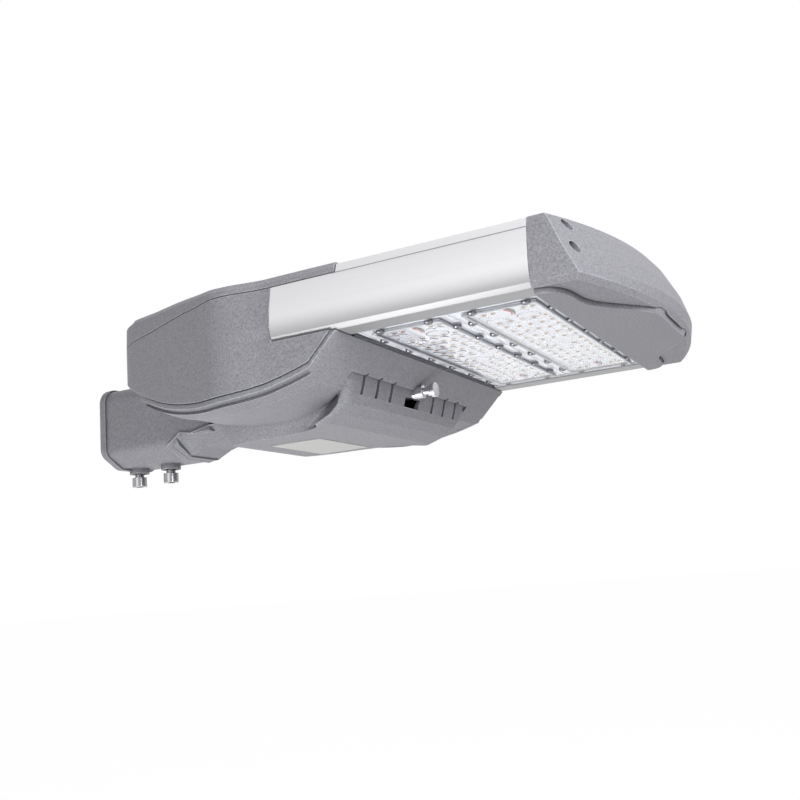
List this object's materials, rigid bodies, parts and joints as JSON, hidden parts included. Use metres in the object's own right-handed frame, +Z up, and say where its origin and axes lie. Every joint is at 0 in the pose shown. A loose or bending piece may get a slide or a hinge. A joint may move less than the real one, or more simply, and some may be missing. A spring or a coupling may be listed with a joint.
{
  "type": "street light",
  "caption": "LED street light head with a tapered cast housing, hinged vented driver door, extruded side rails, lens plates, raked end cap and a clamping pole sleeve.",
  "frame": {"origin": "centre of the pole socket's mouth", "axes": "+X along the pole axis towards the light's front, +Z up, +Y to the left"},
  "size_m": [0.4923, 0.2978, 0.1175],
  "materials": {
    "cast_paint": "fine textured grey powder coat",
    "rail": "satin silver",
    "heatsink": "mill finish",
    "board": "white solder mask",
    "gasket": "matt",
    "lens": "clear moulded",
    "steel": "bright stainless",
    "sheet": "zinc plated",
    "driver": "semi-matt",
    "gear_plastic": "matt",
    "gland": "matt"
  },
  "bodies": {
    "head": {"pole_sleeve": "cast_paint", "sleeve_saddle": "cast_paint", "housing": "cast_paint", "top_cover": "cast_paint", "end_cap": "cast_paint", "side_rail_left": "rail", "side_rail_right": "rail", "module_heatsink_rear": "heatsink", "module_heatsink_front": "heatsink", "led_board_rear": "board", "led_board_front": "board", "lens_gasket_rear": "gasket", "lens_gasket_front": "gasket", "lens_plate_rear": "lens", "lens_plate_front": "lens", "clamp_bolts": "steel", "sleeve_bolts": "steel", "hinge_pins": "steel", "end_cap_screws": "steel", "gear_tray": "sheet", "striker_plate": "sheet", "led_driver": "driver", "surge_protector": "gear_plastic", "terminal_block": "gear_plastic", "cable_gland": "gland"},
    "door": {"driver_door": "cast_paint", "latch_barrel": "steel"},
    "latch": {"latch_knob": "steel"}
  },
  "joints": [
    {"name": "door_hinge", "type": "hinge", "parent": "head", "child": "door", "pos_m": [0.1, 0, 0.012], "axis": [0, 1, 0], "range_deg": [0, 65]},
    {"name": "latch_pull", "type": "slide", "parent": "door", "child": "latch", "axis": [1, 0, 0], "range_m": [0, 0.008], "stiffness_N_per_m": 500, "springref_m": -0.004}
  ]
}
